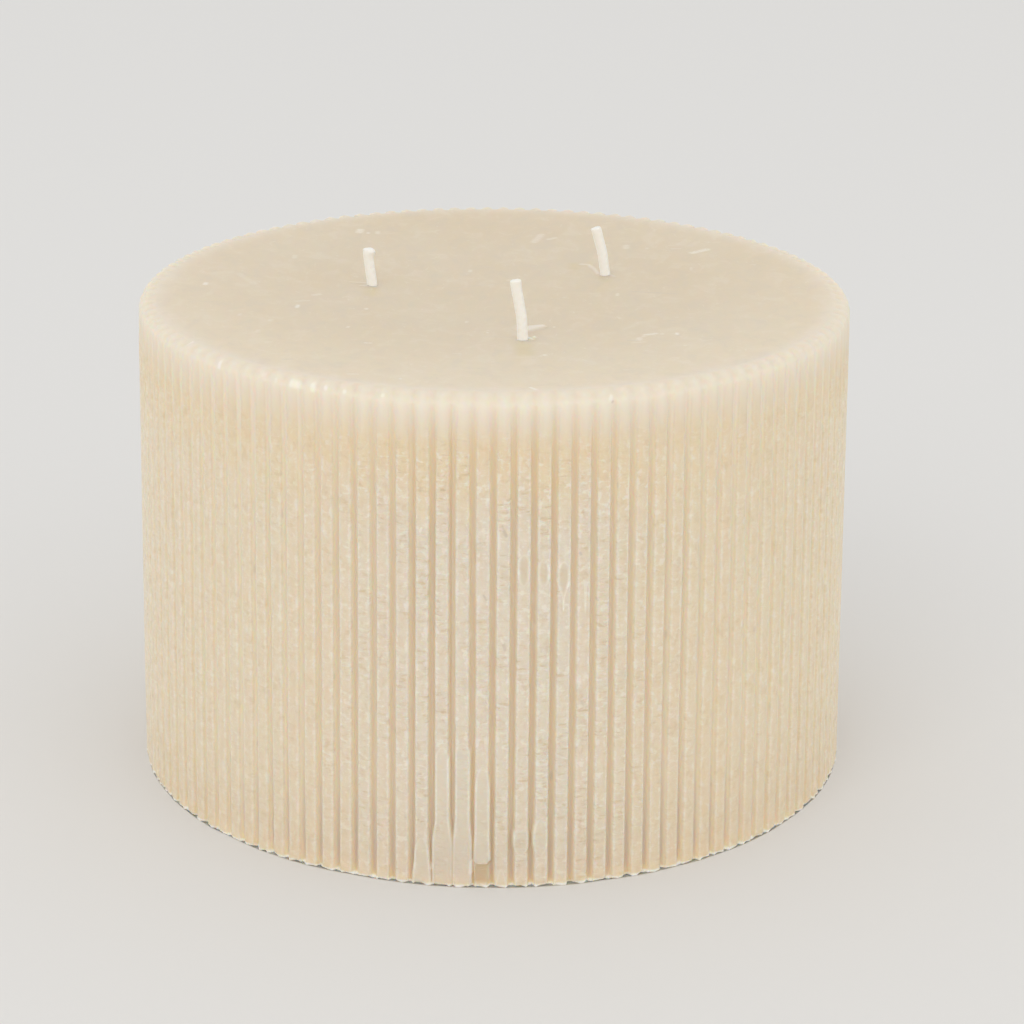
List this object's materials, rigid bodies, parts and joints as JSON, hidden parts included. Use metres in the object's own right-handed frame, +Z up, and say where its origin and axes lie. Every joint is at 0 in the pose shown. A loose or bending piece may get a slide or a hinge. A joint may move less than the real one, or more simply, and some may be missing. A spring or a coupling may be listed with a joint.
{
  "type": "ribbed candle",
  "caption": "Wide pillar candle of cream wax with upright ribs round its side, a smooth rounded rim and short cotton wicks; stands free and burns.",
  "frame": {"origin": "centre of the flat base, on the surface that the candle stands on", "axes": "+Z up through the candle; -Y is the front, the side that the picture shows; +X to its right"},
  "size_m": [0.15, 0.15, 0.1105],
  "materials": {
    "wax": "cream candle wax, slightly translucent, with a pale dry bloom on the ribs",
    "wick": "waxed braided cotton, unburnt",
    "tab": "plain tinplate"
  },
  "bodies": {
    "root": {"wax_body": "wax", "wick_front": "wick", "wick_right": "wick", "wick_left": "wick", "wick_tab_front": "tab", "wick_tab_right": "tab", "wick_tab_left": "tab"}
  },
  "joints": []
}
